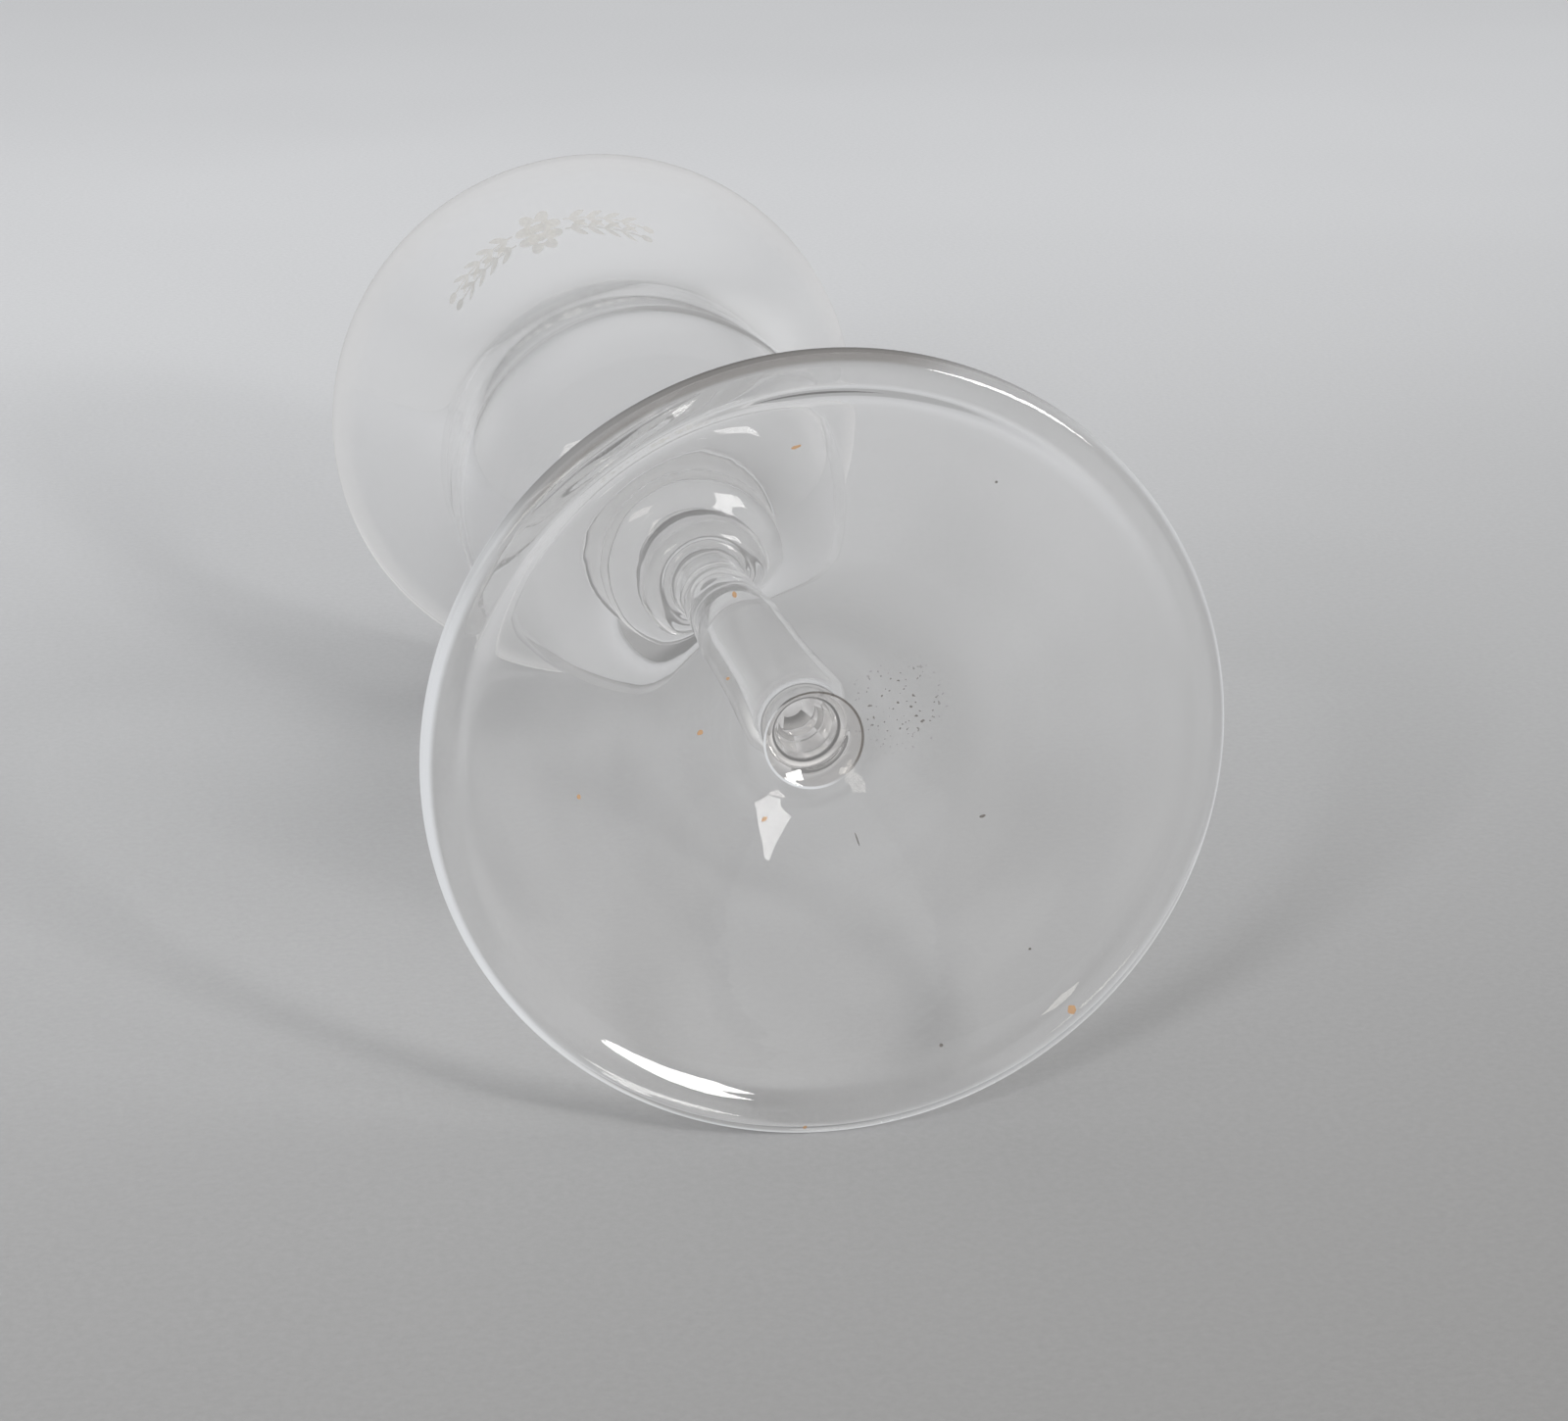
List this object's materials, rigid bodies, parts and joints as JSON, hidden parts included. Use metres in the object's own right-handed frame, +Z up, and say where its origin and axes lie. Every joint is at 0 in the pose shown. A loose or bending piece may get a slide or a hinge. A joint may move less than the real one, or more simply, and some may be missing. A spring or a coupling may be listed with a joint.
{
  "type": "liqueur glass",
  "caption": "Small stemmed liqueur glass: flared bell-shaped bowl on a solid base, a knop, a slim stem and a disc foot; holds a small measure of spirits.",
  "frame": {"origin": "centre of the ring the foot stands on, on the table plane", "axes": "+Z up along the glass from foot to mouth; the glass is round, and -Y is the side that carries the etched ornament in the visual model"},
  "size_m": [0.06, 0.06, 0.1166],
  "materials": {
    "clear_glass": "clear, fire-polished"
  },
  "bodies": {
    "root": {"foot": "clear_glass", "stem": "clear_glass", "knop": "clear_glass", "bowl_base": "clear_glass", "bowl": "clear_glass"}
  },
  "joints": []
}
